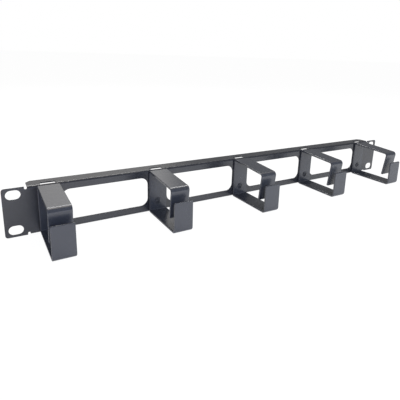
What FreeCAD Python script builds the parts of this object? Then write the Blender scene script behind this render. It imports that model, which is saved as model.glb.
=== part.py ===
"""Horizontal cable manager for a 19 inch rack, one unit high.

A folded steel panel carries a row of folded steel rings, each held by one blind rivet.
Cables are laid through the rings along X and pass backwards through the windows between them.

Frame: +X to the right along the panel, -Y forwards out of the rack, +Z up, in millimetres.
The origin is the centre of the rack-bolt pattern, on the rear face of the ears,
which is the face that seats on the rack's rails.
"""
import FreeCAD, Part
import math
import os
import re

from Sketcher import Constraint

# The driving dimensions, in millimetres. Each one becomes a cell of the document's sheet.
SIZES = {
    # rack slots in the ears, on the 19 inch standard
    "rack_span": 465.1,          # between slot centres, left to right
    "rack_rise": 31.75,          # between slot centres, bottom to top
    "slot_length": 11.7,
    "slot_height": 8.2,
    # panel: one folded sheet
    "end_margin": 8.75,          # from a slot's centre out to the panel's end
    "edge_margin": 6.125,        # from a slot's centre up or down to the panel's edge
    "sheet": 1.2,                # thickness of the panel
    "panel_bend": 0.8,           # inner radius of the panel's two long bends
    "flange_inset": 11.05,       # from a slot's centre in to the flanges' ends
    "flange_depth": 15.0,        # from the panel's front face to a flange's rear edge
    "flange_corner": 3.5,        # cut off each rear corner of a flange
    "ear_corner": 2.5,           # radius of the ears' outer corners
    "relief_width": 2.2,         # notch between an ear and the end of a bend
    "relief_depth": 2.6,
    # windows between the rings
    "window_margin": 7.5,        # from the panel's edge to a window
    "window_corner": 7.5,
    "land_margin": 1.1,          # panel left standing beyond each side of a ring
    # slots in the top flange, one over each ring
    "top_slot_length": 12.5,
    "top_slot_width": 5.3,
    "top_slot_corner": 1.0,
    "top_slot_offset": 1.3,      # from the panel's front face to the slot's near edge
    # rings: each is one folded strip
    "ring_count": 5,
    "ring_inset": 16.9,          # from the flanges' end in to the middle of the nearest ring
    "ring_width": 18.5,
    "strip": 2.0,                # thickness of a ring
    "base_bend": 0.8,            # inner radius of the two bends at the base
    "front_bend": 2.0,           # inner radius of the two bends at the front
    "top_arm": 52.0,             # from the panel's front face to the front of the inner tab
    "top_arm_drop": 3.4,         # how far the top arm falls from the base to the front
    "mouth": 9.4,                # from the bottom arm up to the lower end of the inner tab
    "entry_gap": 4.8,            # between the tabs, where the top arm and the outer tab begin
    "tab_overlap": 18.0,         # how far the outer tab stands up past the inner tab's end
    "inner_tab_lean": 3.8,       # how far its lower end leans back towards the panel
    "outer_tab_lean": 0.3,       # how far its upper end leans back towards the panel
    "tab_corner": 1.0,           # radius of the corners at the tabs' ends
    # blind rivets, one through each ring's base
    "rivet_drop": 10.6,          # from mid-height down to the rivet
    "rivet_shank": 3.2,          # diameter
    "rivet_clearance": 0.05,     # radial, in the holes through strip and sheet
    "rivet_head": 6.5,           # diameter
    "rivet_head_height": 1.3,
    "rivet_bore": 1.9,           # diameter of the hole that the mandrel left
    "rivet_bore_depth": 2.2,     # from the top of the head
    "rivet_tail": 4.9,           # diameter of the set tail behind the panel
    "rivet_tail_length": 3.4,
}

# Sizes that follow from the driving ones.
FOLLOWING = {
    "panel_width": "rack_span + 2 * end_margin",
    "panel_height": "rack_rise + 2 * edge_margin",
    "flange_length": "rack_span - 2 * flange_inset",
    "window_height": "panel_height - 2 * window_margin",
    "land_width": "ring_width + 2 * land_margin",
    "ring_pitch": "(flange_length - 2 * ring_inset) / (ring_count - 1)",
    "first_ring": "ring_inset - flange_length / 2",
    "bottom_arm": "top_arm + entry_gap + strip",
    "inner_tab_end": "strip + mouth - panel_height / 2",
    "outer_tab_end": "inner_tab_end + tab_overlap",
}

SHEET = "Sizes"
OUTPUT_FOLDER = "parts"
BOTH_SIDES = ("1", "-1")         # factors in an expression: right and left, or top and bottom
START, END, CENTRE = 1, 2, 3     # the points of a sketch's line or arc
ORIGIN = (-1, 1)                 # a sketch's own origin point
LEVEL, UPRIGHT = -1, -2          # a sketch's horizontal and vertical axes, as geometry
LEVEL_AXIS = "H_Axis"            # the horizontal axis, as a direction to repeat or turn about
NEARNESS = 0.001                 # how close an edge lies to the place it is looked for


def make_sheet(document):
    """Put the driving dimensions into a spreadsheet, each under its own alias."""
    sheet = document.addObject("Spreadsheet::Sheet", SHEET)
    for row, (alias, value) in enumerate(SIZES.items(), start=1):
        sheet.set(f"A{row}", alias)
        sheet.set(f"B{row}", str(value))
        sheet.setAlias(f"B{row}", alias)
    document.recompute()


def bound(expression):
    """Write an expression on named sizes as one on the sheet's cells."""
    following = re.compile(rf"\b({'|'.join(FOLLOWING)})\b")
    while following.search(expression):
        expression = following.sub(lambda found: f"({FOLLOWING[found.group()]})", expression)
    return re.sub(rf"\b({'|'.join(SIZES)})\b", rf"{SHEET}.\1", expression)


def value_of(document, expression):
    """Work out an expression on named sizes from the sheet."""
    return float(document.getObject(SHEET).evalExpression(bound(expression)))


class Drawing:
    """A sketch on one of a body's origin planes, with each size bound to the sheet.

    A place is a pair of expressions, along the sketch's horizontal and vertical axes.
    """

    def __init__(self, body, plane, name):
        planes = {feature.Role: feature for feature in body.Origin.OriginFeatures}
        self.document = body.Document
        self.sketch = body.newObject("Sketcher::SketchObject", name)
        self.sketch.AttachmentSupport = [(planes[f"{plane}_Plane"], "")]
        self.sketch.MapMode = "FlatFace"

    def at(self, place):
        """The place as a point, for drawing."""
        across, up = (value_of(self.document, expression) for expression in place)
        return FreeCAD.Vector(across, up, 0)

    def line(self, start, end):
        """Draw a line between two points."""
        return self.sketch.addGeometry(Part.LineSegment(start, end))

    def arc(self, centre, start, end):
        """Draw the short arc between two points; say which of its ends lies at each."""
        turn = (start - centre).cross(end - centre).z
        first, last = (start, end) if turn > 0 else (end, start)
        angles = [math.atan2(point.y - centre.y, point.x - centre.x) for point in (first, last)]
        circle = Part.Circle(centre, FreeCAD.Vector(0, 0, 1), (start - centre).Length)
        index = self.sketch.addGeometry(Part.ArcOfCircle(circle, *angles))
        return index, (START, END) if turn > 0 else (END, START)

    def join(self, kind, *ends):
        """Add a constraint that has no size, such as Coincident or Tangent."""
        self.sketch.addConstraint(Constraint(kind, *ends))

    def size(self, kind, expression, *ends):
        """Add a constraint whose size is bound to the sheet."""
        value = value_of(self.document, expression)
        index = self.sketch.addConstraint(Constraint(kind, *ends, value))
        self.sketch.setExpression(f"Constraints[{index}]", bound(expression))

    def pin(self, geometry, point, place):
        """Hold a point of the drawing at a place, measured from the origin."""
        for kind, expression, axis in zip(("DistanceX", "DistanceY"), place, (UPRIGHT, LEVEL)):
            if expression == "0":
                self.join("PointOnObject", geometry, point, axis)
            else:
                self.size(kind, expression, *ORIGIN, geometry, point)

    def circle(self, centre, radius):
        """Draw a circle at a place."""
        shape = Part.Circle(self.at(centre), FreeCAD.Vector(0, 0, 1), value_of(self.document, radius))
        index = self.sketch.addGeometry(shape)
        self.pin(index, CENTRE, centre)
        self.size("Radius", radius, index)

    def rectangle(self, low, high):
        """Draw a rectangle between two opposite corners."""
        corners = [low, (high[0], low[1]), high, (low[0], high[1])]
        points = [self.at(corner) for corner in corners]
        sides = [self.line(points[i], points[(i + 1) % 4]) for i in range(4)]
        for index, side in enumerate(sides):
            self.join("Coincident", side, END, sides[(index + 1) % 4], START)
            self.join("Vertical" if index % 2 else "Horizontal", side)
        self.pin(sides[0], START, low)
        self.pin(sides[2], START, high)

    def rounded(self, centres, radius):
        """Draw the outline round circles of one radius, with their centres taken anticlockwise.

        Two centres give an obround and four give a rounded rectangle.
        """
        points = [self.at(centre) for centre in centres]
        reach = value_of(self.document, radius)
        count = len(points)
        sides = []
        for index, point in enumerate(points):
            following = points[(index + 1) % count]
            along = (following - point).normalize()
            outwards = FreeCAD.Vector(along.y, -along.x, 0) * reach
            sides.append((point + outwards, following + outwards))
        lines = [self.line(*side) for side in sides]
        for index, centre in enumerate(points):
            before, after = sides[index - 1][1], sides[index][0]
            angles = [math.atan2(end.y - centre.y, end.x - centre.x) for end in (before, after)]
            circle = Part.Circle(centre, FreeCAD.Vector(0, 0, 1), reach)
            arc = self.sketch.addGeometry(Part.ArcOfCircle(circle, *angles))
            self.join("Tangent", lines[index - 1], END, arc, START)
            self.join("Tangent", arc, END, lines[index], START)
            self.pin(arc, CENTRE, centres[index])
            self.size("Radius", radius, arc)

    def outline(self, places, arc_centres):
        """Draw a closed outline through places, straight but where a side has an arc's centre."""
        points = [self.at(place) for place in places]
        ends = []
        for index, place in enumerate(places):
            start, end = points[index], points[(index + 1) % len(points)]
            if index in arc_centres:
                centre = arc_centres[index]
                side, (first, last) = self.arc(self.at(centre), start, end)
                self.size("DistanceX", centre[0], *ORIGIN, side, CENTRE)
            else:
                side, first, last = self.line(start, end), START, END
            self.pin(side, first, place)
            ends.append((side, first, last))
        for before, after in zip(ends, ends[1:] + ends[:1]):
            self.join("Coincident", before[0], before[2], after[0], after[1])

    def folded(self, corners, bends, thickness):
        """Draw the section of a folded sheet.

        The corners are where the flats' outer faces would meet if the bends were sharp, with
        the section's two ends before and after them. Each bend is the expression of its inner
        radius, and the sheet lies on the inner side of its bends.
        """
        points = [self.at(corner) for corner in corners]
        gauge = value_of(self.document, thickness)
        mould = [self.line(a, b) for a, b in zip(points, points[1:])]
        for index, line in enumerate(mould):
            self.sketch.setConstruction(line, True)
            self.pin(line, START, corners[index])
        for first, second in zip(mould, mould[1:]):
            self.join("Coincident", first, END, second, START)
        self.pin(mould[-1], END, corners[-1])

        # where each bend begins and ends, on the outer and on the inner face
        places = {"outer": [points[0]], "inner": []}
        centres = []
        for index, bend in enumerate(bends, start=1):
            inner_radius = value_of(self.document, bend)
            outer_radius = inner_radius + gauge
            back = (points[index - 1] - points[index]).normalize()
            ahead = (points[index + 1] - points[index]).normalize()
            half = back.getAngle(ahead) / 2
            centre = points[index] + (back + ahead).normalize() * (outer_radius / math.sin(half))
            centres.append(centre)
            for way in (back, ahead):
                tangent = points[index] + way * (outer_radius / math.tan(half))
                places["outer"].append(tangent)
                places["inner"].append(centre + (tangent - centre) * (inner_radius / outer_radius))
        places["outer"].append(points[-1])
        for end, near, front in ((0, 0, 1), (-1, -1, -2)):
            inwards = places["inner"][near] - places["outer"][front]
            place = points[end] + inwards
            places["inner"].insert(0 if end == 0 else len(places["inner"]), place)

        faces = {}
        for face, ends in places.items():
            faces[face] = [self.line(a, b) for a, b in zip(ends[::2], ends[1::2])]
        for index, line in enumerate(faces["outer"]):
            if index:
                self.join("PointOnObject", line, START, mould[index])
            if index < len(bends):
                self.join("PointOnObject", line, END, mould[index])
        self.join("Coincident", faces["outer"][0], START, mould[0], START)
        self.join("Coincident", faces["outer"][-1], END, mould[-1], END)

        for index, (bend, centre) in enumerate(zip(bends, centres)):
            arcs = []
            for face, radius in (("outer", f"{bend} + {thickness}"), ("inner", bend)):
                before, after = places[face][2 * index + 1], places[face][2 * index + 2]
                arc, (first, last) = self.arc(centre, before, after)
                self.join("Tangent", faces[face][index], END, arc, first)
                self.join("Tangent", faces[face][index + 1], START, arc, last)
                self.size("Radius", radius, arc)
                arcs.append(arc)
            self.join("Coincident", arcs[0], CENTRE, arcs[1], CENTRE)

        for flat, point in ((0, START), (-1, END)):
            outer, inner = faces["outer"][flat], faces["inner"][flat]
            end_face = self.line(*(self.sketch.getPoint(line, point) for line in (outer, inner)))
            self.join("Coincident", end_face, START, outer, point)
            self.join("Coincident", end_face, END, inner, point)
            self.join("Perpendicular", end_face, outer)
            self.join("Parallel", inner, outer)


def complete(feature):
    """Work a feature out, keeping the seams where flat faces join.

    So the rear face of each ear, which seats on a rail, stays a face of its own.
    """
    feature.Refine = False
    feature.Document.recompute()


def new_body(document, name):
    """Start a body that becomes one piece of the product."""
    body = document.addObject("PartDesign::Body", name)
    body.Label = name
    return body


def pad(body, drawing, name, length, symmetric=False):
    """Thicken a drawing into a solid, to one side of its plane or to both."""
    feature = body.newObject("PartDesign::Pad", name)
    feature.Profile = drawing.sketch
    feature.SideType = "Symmetric" if symmetric else "One side"
    feature.setExpression("Length", bound(length))
    complete(feature)


def cut(body, drawing, name, depth=None, reverse=False, both_ways=False):
    """Cut a drawing's outline out of the body, to a depth or through all of it."""
    before = body.Shape.Volume
    feature = body.newObject("PartDesign::Pocket", name)
    feature.Profile = drawing.sketch
    feature.SideType = "Symmetric" if both_ways else "One side"
    feature.Reversed = reverse
    if depth:
        feature.setExpression("Length", bound(depth))
    else:
        feature.Type = "ThroughAll"
    complete(feature)
    if not body.Shape.Volume < before:
        raise RuntimeError(f"{name} cuts nothing")
    return feature


def repeat_along_x(body, feature, name, count):
    """Repeat a cut at every ring's pitch, towards +X."""
    pattern = body.newObject("PartDesign::LinearPattern", name)
    pattern.Originals = [feature]
    pattern.Direction = (feature.Profile[0], [LEVEL_AXIS])
    pattern.Mode = "Spacing"
    pattern.setExpression("Offset", bound("ring_pitch"))
    pattern.setExpression("Occurrences", bound(count))
    body.Tip = pattern
    complete(pattern)


def dress_edges(body, kind, name, size, wanted):
    """Round or cut the straight edges that a test picks out.

    The kind is Fillet or Chamfer, and the test is given each edge's middle, direction and length.
    """
    base = body.Tip
    names = []
    for index, edge in enumerate(base.Shape.Edges, start=1):
        if isinstance(edge.Curve, Part.Line):
            ends = [vertex.Point for vertex in edge.Vertexes]
            if wanted((ends[0] + ends[1]) / 2, (ends[1] - ends[0]).normalize(), edge.Length):
                names.append(f"Edge{index}")
    feature = body.newObject(f"PartDesign::{kind}", name)
    feature.Base = (base, names)
    feature.setExpression("Radius" if kind == "Fillet" else "Size", bound(size))
    complete(feature)


def runs_along(direction, axis):
    """Whether a direction is parallel to an axis."""
    return direction.cross(axis).Length < NEARNESS


def make_panel(document):
    """The panel: a channel folded from one sheet, with a flat ear at each end."""
    body = new_body(document, "panel")
    along_x, along_y, along_z = (FreeCAD.Vector(*axis) for axis in ((1, 0, 0), (0, 1, 0), (0, 0, 1)))

    rear_edge = "flange_depth - sheet"
    section = Drawing(body, "YZ", "channel_section")
    section.folded(
        [(rear_edge, "panel_height / 2"), ("-sheet", "panel_height / 2"),
         ("-sheet", "-panel_height / 2"), (rear_edge, "-panel_height / 2")],
        ["panel_bend", "panel_bend"], "sheet")
    pad(body, section, "channel", "flange_length", symmetric=True)

    rear = value_of(document, rear_edge)
    dress_edges(body, "Chamfer", "flange_corners", "flange_corner",
                lambda middle, way, _: runs_along(way, along_z) and abs(middle.y - rear) < NEARNESS)

    ears = Drawing(body, "XZ", "ear_outlines")
    ears.rectangle(("flange_length / 2", "-panel_height / 2"), ("panel_width / 2", "panel_height / 2"))
    ears.rectangle(("-panel_width / 2", "-panel_height / 2"), ("-flange_length / 2", "panel_height / 2"))
    pad(body, ears, "ears", "sheet")

    tip = value_of(document, "panel_width / 2")
    dress_edges(body, "Fillet", "ear_corners", "ear_corner",
                lambda middle, way, _: runs_along(way, along_y) and abs(abs(middle.x) - tip) < NEARNESS)

    slots = Drawing(body, "XZ", "rack_slot_outlines")
    reliefs = Drawing(body, "XZ", "relief_outlines")
    straight = "(slot_length - slot_height) / 2"
    relief_middle = "(flange_length + relief_width) / 2"
    for side in BOTH_SIDES:
        for level in BOTH_SIDES:
            slots.rounded([(f"{side} * rack_span / 2 - {straight}", f"{level} * rack_rise / 2"),
                           (f"{side} * rack_span / 2 + {straight}", f"{level} * rack_rise / 2")],
                          "slot_height / 2")
            reliefs.rounded([(f"{side} * {relief_middle}",
                              f"{level} * (panel_height / 2 - relief_depth + relief_width / 2)"),
                             (f"{side} * {relief_middle}",
                              f"{level} * (panel_height / 2 + relief_width)")],
                            "relief_width / 2")
    cut(body, slots, "rack_slots", both_ways=True)
    cut(body, reliefs, "bend_reliefs", both_ways=True)

    window = Drawing(body, "XZ", "window_outline")
    left = "first_ring + land_width / 2 + window_corner"
    right = "first_ring + ring_pitch - land_width / 2 - window_corner"
    rise = "(window_height / 2 - window_corner)"
    window.rounded([(left, f"-{rise}"), (right, f"-{rise}"), (right, rise), (left, rise)], "window_corner")
    repeat_along_x(body, cut(body, window, "first_window", both_ways=True),
                   "windows", "ring_count - 1")

    hole = Drawing(body, "XZ", "rivet_hole_outline")
    hole.circle(("first_ring", "-rivet_drop"), "rivet_shank / 2 + rivet_clearance")
    repeat_along_x(body, cut(body, hole, "first_rivet_hole", both_ways=True),
                   "rivet_holes", "ring_count")

    slot = Drawing(body, "XY", "top_slot_outline")
    left = "first_ring - (top_slot_length / 2 - top_slot_corner)"
    right = "first_ring + (top_slot_length / 2 - top_slot_corner)"
    near = "top_slot_offset - sheet + top_slot_corner"
    far = "top_slot_offset - sheet + top_slot_width - top_slot_corner"
    slot.rounded([(left, near), (right, near), (right, far), (left, far)], "top_slot_corner")
    repeat_along_x(body, cut(body, slot, "first_top_slot", reverse=True),
                   "top_slots", "ring_count")
    return body


def make_ring(document, number):
    """One ring: a strip folded round into a loop whose two ends overlap at the front.

    The top arm's end turns down as the inner tab and the bottom arm's end turns up in front
    of it as the outer tab, so that cables are laid in through the gap between the tabs.
    """
    body = new_body(document, f"ring_{number}")
    section = Drawing(body, "YZ", "ring_section")
    base = "-sheet"
    inner_front, outer_front = "-sheet - top_arm", "-sheet - bottom_arm"
    top, bottom = "panel_height / 2", "-panel_height / 2"
    section.folded(
        [(f"{inner_front} + inner_tab_lean", "inner_tab_end"),
         (inner_front, f"{top} - top_arm_drop"), (base, top), (base, bottom), (outer_front, bottom),
         (f"{outer_front} + outer_tab_lean", "outer_tab_end")],
        ["front_bend", "base_bend", "base_bend", "front_bend"], "strip")
    pad(body, section, "folded_strip", "ring_width", symmetric=True)

    hole = Drawing(body, "XZ", "rivet_hole_outline")
    hole.circle(("0", "-rivet_drop"), "rivet_shank / 2 + rivet_clearance")
    cut(body, hole, "rivet_hole", depth="sheet + strip + base_bend", reverse=True)

    # the edges through the strip's thickness at its two ends
    gauge = value_of(document, "strip")
    dress_edges(body, "Fillet", "tab_corners", "tab_corner",
                lambda _, way, length: abs(way.x) < NEARNESS and abs(length - gauge) < NEARNESS)
    body.setExpression("Placement.Base.x", bound(ring_place(number)))
    return body


def make_rivet(document, number):
    """One blind rivet: domed head with the mandrel's hole, shank, and the tail set behind."""
    body = new_body(document, f"rivet_{number}")
    drawing = Drawing(body, "YZ", "half_section")
    seat = "-(sheet + strip)"
    top = f"{seat} - rivet_head_height"
    bore, head, shank, tail = (f"rivet_{part} / 2" for part in ("bore", "head", "shank", "tail"))
    bore_end = f"{top} + rivet_bore_depth"
    places = [(bore_end, "0"), (bore_end, bore), (top, bore), (seat, head), (seat, shank),
              ("0", shank), ("0", tail), ("rivet_tail_length", tail), ("rivet_tail_length", "0")]
    # the head's dome is part of a sphere about the axis
    squares = f"({top})^2 - ({seat})^2 + ({bore})^2 - ({head})^2"
    dome_centre = (f"({squares}) / (2 * (({top}) - ({seat})))", "0")
    drawing.outline(places, {places.index((top, bore)): dome_centre})
    turned = body.newObject("PartDesign::Revolution", "turned_rivet")
    turned.Profile = drawing.sketch
    turned.ReferenceAxis = (drawing.sketch, [LEVEL_AXIS])
    turned.Angle = 360
    complete(turned)
    body.setExpression("Placement.Base.x", bound(ring_place(number)))
    body.setExpression("Placement.Base.z", bound("-rivet_drop"))
    return body


def ring_place(number):
    """Where a ring stands along X, counted from the left."""
    return f"first_ring + {number - 1} * ring_pitch"


def check(document, bodies):
    """Stop if anything in the document has failed or a piece isn't one sound solid."""
    for item in document.Objects:
        if {"Invalid", "Error"} & set(item.State):
            raise RuntimeError(f"{item.Name} failed: {item.State}")
    for body in bodies:
        if body.Shape.isNull() or not body.Shape.isValid() or len(body.Shape.Solids) != 1:
            raise RuntimeError(f"{body.Label} is not one sound solid")


def main():
    """Build the document and write one file for each piece."""
    document = FreeCAD.newDocument("cable_manager")
    make_sheet(document)
    bodies = [make_panel(document)]
    for number in range(1, SIZES["ring_count"] + 1):
        bodies.append(make_ring(document, number))
        bodies.append(make_rivet(document, number))
    document.recompute()
    check(document, bodies)

    os.makedirs(OUTPUT_FOLDER, exist_ok=True)
    for body in bodies:
        body.Shape.exportStep(os.path.join(OUTPUT_FOLDER, f"{body.Label}.step"))
        box = body.Shape.BoundBox
        print(f"{body.Label}: {body.Shape.Volume:.0f} mm3, from "
              f"({box.XMin:.2f}, {box.YMin:.2f}, {box.ZMin:.2f}) to "
              f"({box.XMax:.2f}, {box.YMax:.2f}, {box.ZMax:.2f})")


main()
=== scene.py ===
"""Studio scene of a horizontal cable manager for a 19 inch rack.

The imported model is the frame. Each of its pieces is shown by a finished one of the same form:
the panel and the rings get the softened edges that a powder coat leaves, and the rivets are
turned again with their rolled rims and broken mandrels. Lengths are in metres.
"""
import logging
import math
from dataclasses import dataclass, field
from enum import Enum
from typing import Optional, Union

import bpy
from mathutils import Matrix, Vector


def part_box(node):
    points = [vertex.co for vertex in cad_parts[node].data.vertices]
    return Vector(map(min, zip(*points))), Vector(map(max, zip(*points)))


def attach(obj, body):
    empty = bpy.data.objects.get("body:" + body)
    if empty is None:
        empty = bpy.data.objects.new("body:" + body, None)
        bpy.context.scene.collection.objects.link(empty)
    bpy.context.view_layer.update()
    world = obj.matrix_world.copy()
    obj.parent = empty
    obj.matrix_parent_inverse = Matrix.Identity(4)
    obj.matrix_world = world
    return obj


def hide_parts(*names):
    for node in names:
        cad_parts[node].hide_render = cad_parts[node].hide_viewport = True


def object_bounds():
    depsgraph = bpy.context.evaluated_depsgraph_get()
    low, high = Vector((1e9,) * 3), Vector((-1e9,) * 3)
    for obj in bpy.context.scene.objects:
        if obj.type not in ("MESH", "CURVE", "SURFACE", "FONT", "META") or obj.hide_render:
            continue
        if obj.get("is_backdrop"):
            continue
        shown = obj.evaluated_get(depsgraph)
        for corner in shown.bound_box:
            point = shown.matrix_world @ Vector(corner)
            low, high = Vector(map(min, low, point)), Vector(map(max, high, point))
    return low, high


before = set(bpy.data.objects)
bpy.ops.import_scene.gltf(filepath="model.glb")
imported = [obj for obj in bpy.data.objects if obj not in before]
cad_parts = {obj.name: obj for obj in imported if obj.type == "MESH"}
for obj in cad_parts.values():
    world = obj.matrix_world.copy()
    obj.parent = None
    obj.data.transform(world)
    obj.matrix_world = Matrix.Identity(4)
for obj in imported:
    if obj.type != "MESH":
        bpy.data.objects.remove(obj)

LOG = logging.getLogger("cable_manager")
MM = 0.001
ROOT = "root"
Colour = tuple[float, float, float, float]
Pair = tuple[float, float]


class Slot(Enum):
    """The record's material slots."""

    PANEL = "panel_coat"
    RING = "ring_coat"
    RIVET = "rivet_coat"


# ---------------------------------------------------------------- shader building


class Number:
    """A shader value that plain arithmetic works on."""

    def __init__(self, graph: "Graph", socket: bpy.types.NodeSocket) -> None:
        """Wrap a socket of a graph."""
        self.graph = graph
        self.socket = socket

    def _maths(self, operation: str, first: "Operand", second: "Operand") -> "Number":
        """Add one Math node.

        Args:
            operation: the node's operation.
            first: its first value.
            second: its second value.

        Returns:
            The node's result.
        """
        node = self.graph.node("ShaderNodeMath", {"operation": operation}, {0: first, 1: second})
        return self.graph.number(node)

    def __add__(self, other: "Operand") -> "Number":
        """Add a value to this one."""
        return self._maths("ADD", self, other)

    def __radd__(self, other: "Operand") -> "Number":
        """Add this one to a value."""
        return self._maths("ADD", other, self)

    def __sub__(self, other: "Operand") -> "Number":
        """Take a value from this one."""
        return self._maths("SUBTRACT", self, other)

    def __rsub__(self, other: "Operand") -> "Number":
        """Take this one from a value."""
        return self._maths("SUBTRACT", other, self)

    def __mul__(self, other: "Operand") -> "Number":
        """Multiply this one by a value."""
        return self._maths("MULTIPLY", self, other)

    def __rmul__(self, other: "Operand") -> "Number":
        """Multiply a value by this one."""
        return self._maths("MULTIPLY", other, self)


Operand = Union[Number, float]
Value = Union[Number, bpy.types.NodeSocket, float, Colour, tuple[float, float, float]]


class Graph:
    """The node tree of one material, or of the room."""

    colour_inputs: tuple[int, int] = (6, 7)     # of a Mix node that mixes colours
    colour_output: int = 2

    def __init__(self, owner: Union[bpy.types.Material, bpy.types.World]) -> None:
        """Clear the tree of a material or a world."""
        owner.use_nodes = True
        self.nodes = owner.node_tree.nodes
        self.links = owner.node_tree.links
        self.nodes.clear()

    def node(self, kind: str, settings: Optional[dict] = None,
             sockets: Optional[dict[Union[str, int], Value]] = None) -> bpy.types.Node:
        """Add a node.

        Args:
            kind: the node's type.
            settings: its own properties, set before its sockets.
            sockets: values or links for its inputs, by name or place.

        Returns:
            The node.
        """
        node = self.nodes.new(kind)
        for name, value in (settings or {}).items():
            setattr(node, name, value)
        for key, value in (sockets or {}).items():
            self.feed(node.inputs[key], value)
        return node

    def feed(self, socket: bpy.types.NodeSocket, value: Value) -> None:
        """Link a value to a socket, or set it there.

        Args:
            socket: an input.
            value: what it gets.
        """
        if isinstance(value, Number):
            self.links.new(value.socket, socket)
        elif isinstance(value, bpy.types.NodeSocket):
            self.links.new(value, socket)
        else:
            socket.default_value = value

    def number(self, node: bpy.types.Node, output: Union[str, int] = 0) -> Number:
        """Wrap a node's output for arithmetic."""
        return Number(self, node.outputs[output])

    def place(self) -> bpy.types.NodeSocket:
        """The point on the piece, in its own coordinates."""
        return self.node("ShaderNodeTexCoord").outputs["Object"]

    def noise(self, size: float, detail: float = 2.0) -> Number:
        """A smooth random value from 0 to 1.

        Args:
            size: how large its patches are.
            detail: how many finer layers it has.

        Returns:
            The value.
        """
        sockets = {"Vector": self.place(), "Scale": 1 / size, "Detail": detail}
        return self.number(self.node("ShaderNodeTexNoise", None, sockets), "Fac")

    def blend(self, factor: Operand, first: Colour, second: Colour) -> bpy.types.NodeSocket:
        """Mix two colours.

        Args:
            factor: 0 gives the first colour and 1 the second.
            first: one colour.
            second: the other.

        Returns:
            The mixed colour.
        """
        sockets = {"Factor": factor, **dict(zip(self.colour_inputs, (first, second)))}
        node = self.node("ShaderNodeMix", {"data_type": "RGBA"}, sockets)
        return node.outputs[self.colour_output]

    def show(self, shader: bpy.types.Node, output: str = "ShaderNodeOutputMaterial") -> None:
        """Send a shader to the tree's output."""
        self.node(output, None, {"Surface": shader.outputs[0]})


# ---------------------------------------------------------------- finishes


@dataclass(frozen=True)
class PowderCoat:
    """Glossy black powder coat: faintly blue, softly clouded, with a fine orange peel."""

    name: str
    dark: Colour
    pale: Colour
    roughness: float = 0.26
    roughness_change: float = 0.08
    shine: float = 1.0
    cloud_size: float = 38 * MM
    cloud_detail: float = 3.0
    peel_size: float = 1.1 * MM
    grain_size: float = 0.30 * MM
    peel_height: float = 0.005 * MM

    def build(self) -> bpy.types.Material:
        """Make the material.

        Returns:
            The material.
        """
        material = bpy.data.materials.new(self.name)
        graph = Graph(material)
        cloud = graph.noise(self.cloud_size, self.cloud_detail)
        grain = graph.noise(self.grain_size)
        peel = graph.noise(self.peel_size)
        bump = graph.node("ShaderNodeBump", None,
                          {"Strength": 1.0, "Distance": self.peel_height, "Height": peel})
        graph.show(graph.node("ShaderNodeBsdfPrincipled", None, {
            "Base Color": graph.blend(cloud, self.dark, self.pale),
            "Roughness": self.roughness + self.roughness_change * (cloud + grain - 1.0),
            "Specular IOR Level": self.shine,
            "Normal": bump.outputs["Normal"],
        }))
        return material


# Panel and rings wear one black powder coat. The panel's coat is painted darker as painted shade
# on the recessed panel, and the rings' coat is painted lighter as painted light on their
# free-standing faces.
PANEL_COAT_PAINTED_DARKER = PowderCoat("panel_powder_coat_painted_darker",
                        dark=(0.0165, 0.0185, 0.025, 1.0), pale=(0.0215, 0.0245, 0.032, 1.0))
RING_COAT_PAINTED_LIGHTER = PowderCoat("ring_powder_coat_painted_lighter",
                       dark=(0.031, 0.035, 0.045, 1.0), pale=(0.041, 0.046, 0.058, 1.0))
RIVET_COAT = PowderCoat("rivet_powder_coat",
                        dark=(0.025, 0.028, 0.035, 1.0), pale=(0.033, 0.037, 0.046, 1.0),
                        roughness=0.34)


@dataclass(frozen=True)
class Paper:
    """White paper that looks its full white and still keeps the object's shadow."""

    name: str = "white_paper"
    colour: Colour = (0.90, 0.90, 0.90, 1.0)
    white: float = 1.07
    glow_seen: float = 0.90
    glow_in_gloss: float = 0.40

    def build(self) -> bpy.types.Material:
        """Make the material.

        Returns:
            The material.
        """
        material = bpy.data.materials.new(self.name)
        graph = Graph(material)
        paper = graph.node("ShaderNodeBsdfDiffuse", None, {"Color": self.colour})
        white = graph.node("ShaderNodeEmission", None, {"Strength": self.white})
        rays = graph.node("ShaderNodeLightPath")
        glow = (self.glow_seen * graph.number(rays, "Is Camera Ray")
                + self.glow_in_gloss * graph.number(rays, "Is Glossy Ray"))
        graph.show(graph.node("ShaderNodeMixShader", None,
                              {0: glow, 1: paper.outputs[0], 2: white.outputs[0]}))
        return material


# ---------------------------------------------------------------- modelling


def only(piece: bpy.types.Object) -> None:
    """Select one object alone and make it the active one.

    Args:
        piece: the object.
    """
    bpy.ops.object.select_all(action="DESELECT")
    piece.select_set(True)
    bpy.context.view_layer.objects.active = piece


def wear(piece: bpy.types.Object, material: bpy.types.Material) -> None:
    """Give a piece one material all over."""
    piece.data.materials.clear()
    piece.data.materials.append(material)


def stand_for(piece: bpy.types.Object, node: str) -> None:
    """Let a finished piece ride in the place of a node of the frame.

    Args:
        piece: the finished piece.
        node: the node that it is shown instead of.
    """
    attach(piece, ROOT)
    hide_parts(node)


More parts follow.
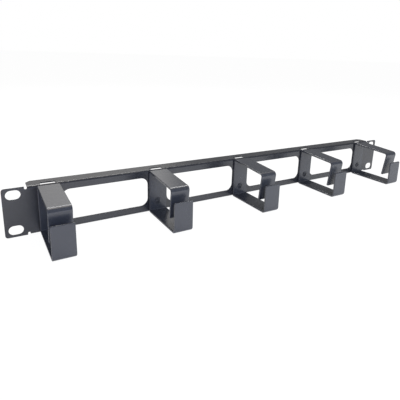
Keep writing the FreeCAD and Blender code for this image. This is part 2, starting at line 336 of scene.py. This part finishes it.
@dataclass
class FoldedSteel:
    """A folded piece of the frame, finished with the soft edges that its coat leaves."""

    finish: bpy.types.Material
    node: str
    slot: Slot = Slot.RING
    edge_radius: float = 0.50 * MM
    edge_steps: int = 4
    edge_angle: float = math.radians(40)        # a sharper edge than this is softened
    smooth_angle: float = math.radians(30)
    weld: float = 0.001 * MM
    flat_angle: float = math.radians(0.5)       # triangles this close to level make one face
    flat_weight: int = 100

    def stays_sharp(self, point: Vector) -> bool:
        """Whether edges between such points are left as they were cut."""
        return False

    def choose_edges(self, piece: bpy.types.Object) -> None:
        """Select every sharp edge but those that stay sharp.

        Args:
            piece: the object, which is in edit mode.
        """
        bpy.ops.mesh.select_all(action="DESELECT")
        bpy.ops.mesh.select_mode(type="EDGE")
        bpy.ops.mesh.edges_select_sharp(sharpness=self.edge_angle)
        bpy.ops.object.mode_set(mode="OBJECT")
        corners = piece.data.vertices
        chosen = [edge.select and not all(self.stays_sharp(corners[end].co)
                                          for end in edge.vertices)
                  for edge in piece.data.edges]
        for kind in (corners, piece.data.polygons):
            kind.foreach_set("select", [False] * len(kind))
        piece.data.edges.foreach_set("select", chosen)
        bpy.ops.object.mode_set(mode="EDIT")

    def build(self) -> bpy.types.Object:
        """Copy the node, join its loose triangles into faces, and soften its edges.

        Returns:
            The finished piece.
        """
        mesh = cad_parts[self.node].data.copy()
        piece = bpy.data.objects.new(f"coated_{self.node}", mesh)
        bpy.context.scene.collection.objects.link(piece)
        only(piece)
        bpy.ops.object.mode_set(mode="EDIT")
        bpy.ops.mesh.select_all(action="SELECT")
        bpy.ops.mesh.customdata_custom_splitnormals_clear()
        bpy.ops.mesh.remove_doubles(threshold=self.weld)
        bpy.ops.mesh.dissolve_limited(angle_limit=self.flat_angle)
        self.choose_edges(piece)
        bpy.ops.mesh.bevel(offset=self.edge_radius, segments=self.edge_steps,
                           clamp_overlap=False)
        bpy.ops.object.mode_set(mode="OBJECT")
        bpy.ops.object.shade_smooth_by_angle(angle=self.smooth_angle)
        flats = piece.modifiers.new("true_flats", "WEIGHTED_NORMAL")
        flats.weight = self.flat_weight
        flats.keep_sharp = True
        bpy.ops.object.modifier_apply(modifier=flats.name)
        wear(piece, self.finish)
        stand_for(piece, self.node)
        return piece


@dataclass
class Panel(FoldedSteel):
    """The folded panel. The small notches that free its bends from the ears stay as punched."""

    node: str = "panel"
    slot: Slot = Slot.PANEL
    edge_radius: float = 0.30 * MM
    relief_from: float = 221.2 * MM
    relief_to: float = 223.9 * MM
    relief_above: float = 19.2 * MM

    def stays_sharp(self, point: Vector) -> bool:
        """Whether a point lies in one of the four notches."""
        beside_ear = self.relief_from < abs(point.x) < self.relief_to
        return beside_ear and abs(point.z) > self.relief_above


@dataclass
class BlindRivet:
    """A set blind rivet with its rolled rim, its bore, and the mandrel broken off inside.

    Its section lies between the axis and the side. Each arc of it is given by the angles that it
    starts and ends at, in degrees, where 0 faces away from the axis and 90 faces the tail.
    """

    finish: bpy.types.Material
    node: str
    corners: int = 48
    head_height: float = 1.3 * MM
    dome: tuple[Pair, ...] = ((0.62, 0.30), (0.78, 0.48))      # parts of its radius and height
    rim: float = 0.35 * MM
    rim_arc: Pair = (-65, 90)
    lip: float = 1.45 * MM
    lip_round: float = 0.2 * MM
    lip_arc: Pair = (-180, -50)
    bore: float = 0.95 * MM
    mandrel_depth: float = 0.7 * MM
    mandrel_crown: float = 0.25 * MM
    mandrel_flat: float = 0.5                   # of the bore's radius
    mandrel_shoulder: float = 0.85              # of the bore's radius
    shank: float = 1.6 * MM
    tail: float = 2.45 * MM
    tail_round: float = 0.7 * MM
    tail_arc: Pair = (0, 80)
    round_steps: int = 4
    smooth_angle: float = math.radians(35)

    def arc(self, middle: Pair, radius: float, turn: Pair) -> list[Pair]:
        """Stations round an arc of the section.

        Args:
            middle: its centre, as a distance from the axis and a place along it.
            radius: its radius.
            turn: the angles that it starts and ends at.

        Returns:
            The stations, both ends among them.
        """
        start, end = turn
        angles = [math.radians(start + (end - start) * step / self.round_steps)
                  for step in range(self.round_steps + 1)]
        return [(middle[0] + radius * math.cos(angle), middle[1] + radius * math.sin(angle))
                for angle in angles]

    def stations(self, front: float, seat: float, head: float, back: float) -> list[Pair]:
        """The section from the mandrel's broken end, over the head, to the tail's end.

        Args:
            front: where the head's top lies along Y.
            seat: where the head seats on the ring.
            head: the head's radius.
            back: where the tail ends.

        Returns:
            Each station's distance from the axis and place along Y.
        """
        broken = front + self.mandrel_depth
        lip_middle, lip_radius = (self.bore + self.lip) / 2, (self.lip - self.bore) / 2
        section = [(self.mandrel_flat * self.bore, broken - self.mandrel_crown),
                   (self.mandrel_shoulder * self.bore, broken),
                   (self.bore, broken + self.lip_round)]
        section += self.arc((lip_middle, front + lip_radius), lip_radius, self.lip_arc)
        section += [(across * head, front + down * self.head_height)
                    for across, down in self.dome]
        section += self.arc((head - self.rim, seat - self.rim), self.rim, self.rim_arc)
        section += [(self.shank, seat), (self.shank, 0.0), (self.tail, 0.0)]
        section += self.arc((self.tail - self.tail_round, back - self.tail_round),
                            self.tail_round, self.tail_arc)
        return section

    def build(self) -> bpy.types.Object:
        """Raise the rivet ring by ring from the mandrel's end, about its node's axis.

        Returns:
            The finished rivet.
        """
        low, high = (Vector(corner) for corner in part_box(self.node))
        axis = (low + high) / 2
        head = (high.x - low.x) / 2
        section = self.stations(low.y, low.y + self.head_height, head, high.y)
        radius, place = section[0]
        bpy.ops.object.select_all(action="DESELECT")
        bpy.ops.mesh.primitive_circle_add(vertices=self.corners, radius=radius,
                                          fill_type="NGON", location=(axis.x, place, axis.z),
                                          rotation=(math.radians(90), 0, 0))
        piece = bpy.context.object
        piece.name = f"set_{self.node}"
        bpy.ops.object.transform_apply(location=True, rotation=True, scale=True)
        bpy.ops.object.mode_set(mode="EDIT")
        for wider, further in section[1:]:
            bpy.ops.mesh.extrude_region_move(
                TRANSFORM_OT_translate={"value": (0, further - place, 0)})
            bpy.ops.transform.resize(value=(wider / radius, 1, wider / radius),
                                     center_override=(axis.x, further, axis.z))
            radius, place = wider, further
        bpy.ops.mesh.select_all(action="SELECT")
        bpy.ops.mesh.normals_make_consistent(inside=False)
        bpy.ops.object.mode_set(mode="OBJECT")
        bpy.ops.object.shade_smooth_by_angle(angle=self.smooth_angle)
        wear(piece, self.finish)
        stand_for(piece, self.node)
        return piece


# ---------------------------------------------------------------- studio


@dataclass(frozen=True)
class SoftBox:
    """A studio light that faces the object from a direction.

    The azimuth is measured from +Y towards +X and the elevation from the floor, in degrees.
    It is square unless it is made some times wider than it is high.
    """

    name: str
    azimuth: float
    elevation: float
    distance: float
    side: float
    brightness: float
    colour: tuple[float, float, float] = (1.0, 1.0, 1.0)
    in_gloss: bool = True
    times_wide: float = 1.0

    def build(self) -> bpy.types.Object:
        """Hang the light; its brightness is what its face shows.

        Returns:
            The light.
        """
        around, up = math.radians(self.azimuth), math.radians(self.elevation)
        towards = Vector((math.sin(around) * math.cos(up), math.cos(around) * math.cos(up),
                          math.sin(up)))
        data = bpy.data.lights.new(self.name, "AREA")
        data.shape = "RECTANGLE"
        data.size = self.side * self.times_wide
        data.size_y = self.side
        data.energy = math.pi * data.size * data.size_y * self.brightness
        data.color = self.colour
        lamp = bpy.data.objects.new(self.name, data)
        lamp.location = towards * self.distance
        lamp.rotation_euler = towards.to_track_quat("Z", "Y").to_euler()
        lamp.visible_glossy = self.in_gloss
        bpy.context.scene.collection.objects.link(lamp)
        return lamp


SOFT_BOXES = (
    SoftBox("overhead", azimuth=0, elevation=85, distance=1.1, side=0.60,
            brightness=2.1, colour=(1.0, 0.91, 0.82)),
    SoftBox("front_top", azimuth=165, elevation=58, distance=1.1, side=0.50,
            brightness=3.4, colour=(0.96, 1.0, 1.04), in_gloss=False),
    SoftBox("front_right", azimuth=150, elevation=20, distance=1.2, side=0.60,
            brightness=5.6, colour=(0.92, 1.0, 1.04), in_gloss=False),
    SoftBox("front_left", azimuth=208, elevation=22, distance=0.9, side=0.40,
            brightness=2.6, colour=(0.88, 0.95, 1.70), in_gloss=False),
    SoftBox("back", azimuth=8, elevation=34, distance=1.4, side=0.70,
            brightness=1.05, colour=(1.0, 0.97, 0.93)),
    SoftBox("back_right", azimuth=50, elevation=55, distance=1.2, side=0.50,
            brightness=1.3, colour=(1.0, 0.94, 0.88)),
    SoftBox("glint", azimuth=14, elevation=56, distance=1.0, side=0.12,
            brightness=17.0, times_wide=5.0),
    SoftBox("right", azimuth=80, elevation=45, distance=1.2, side=0.50,
            brightness=0.4, colour=(1.0, 0.85, 0.70)),
)


@dataclass
class Studio:
    """The camera, the paper that the object stands on, and the light."""

    eye: Vector = field(default_factory=lambda: Vector((-251.4, -341.9, 134.6)) * MM)
    turn: tuple[float, float, float] = (75.65, -1.82, -31.21)
    lens: float = 34.58
    sensor: float = 36.0
    shift: Pair = (-0.0248, -0.1178)
    nearest: float = 10 * MM
    furthest: float = 200.0
    paper_reach: float = 60.0
    room_light: float = 0.22
    room_white: float = 1.0

    def camera(self) -> None:
        """Stand the camera in front of the left end, looking along the row of rings."""
        data = bpy.data.cameras.new("camera")
        data.lens = self.lens
        data.sensor_width = self.sensor
        data.shift_x, data.shift_y = self.shift
        data.clip_start = self.nearest
        data.clip_end = self.furthest
        camera = bpy.data.objects.new("camera", data)
        camera.location = self.eye
        camera.rotation_euler = [math.radians(angle) for angle in self.turn]
        bpy.context.scene.collection.objects.link(camera)
        bpy.context.scene.camera = camera

    def paper(self, level: float) -> None:
        """Lay the paper.

        Args:
            level: the height of the object's lowest point.
        """
        bpy.ops.object.select_all(action="DESELECT")
        bpy.ops.mesh.primitive_plane_add(size=self.paper_reach, location=(0, 0, level))
        sheet = bpy.context.object
        sheet.name = "paper"
        bpy.ops.object.transform_apply(location=True, rotation=False, scale=False)
        wear(sheet, Paper().build())
        sheet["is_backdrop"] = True

    def room(self) -> None:
        """Surround everything with even light from walls that look fully white to the eye."""
        world = bpy.data.worlds.new("white_room")
        bpy.context.scene.world = world
        graph = Graph(world)
        seen = graph.number(graph.node("ShaderNodeLightPath"), "Is Camera Ray")
        strength = self.room_light + (self.room_white - self.room_light) * seen
        walls = graph.node("ShaderNodeBackground", None,
                           {"Color": (1.0, 1.0, 1.0, 1.0), "Strength": strength})
        graph.show(walls, "ShaderNodeOutputWorld")

    def build(self, level: float) -> None:
        """Set everything up round the object.

        Args:
            level: the height of the object's lowest point.
        """
        self.camera()
        self.paper(level)
        self.room()
        for box in SOFT_BOXES:
            box.build()
        bpy.context.scene.view_settings.view_transform = "Standard"


def main() -> None:
    """Build the studio and finish every piece."""
    low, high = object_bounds()
    Studio().build(low.z)
    LOG.info("studio ready")
    # ring_coat is the rings' coat, painted lighter than the panel's as painted light on the
    # rings.
    ring_coat, rivet_coat = RING_COAT_PAINTED_LIGHTER.build(), RIVET_COAT.build()
    Panel(PANEL_COAT_PAINTED_DARKER.build()).build()
    LOG.info("panel finished")
    for node in sorted(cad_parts):
        if node.startswith("ring"):
            FoldedSteel(ring_coat, node).build()
            LOG.info("%s finished", node)
        elif node.startswith("rivet"):
            BlindRivet(rivet_coat, node).build()
            LOG.info("%s finished", node)
    low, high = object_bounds()


if __name__ == "__main__":
    logging.basicConfig(level=logging.INFO)
    main()
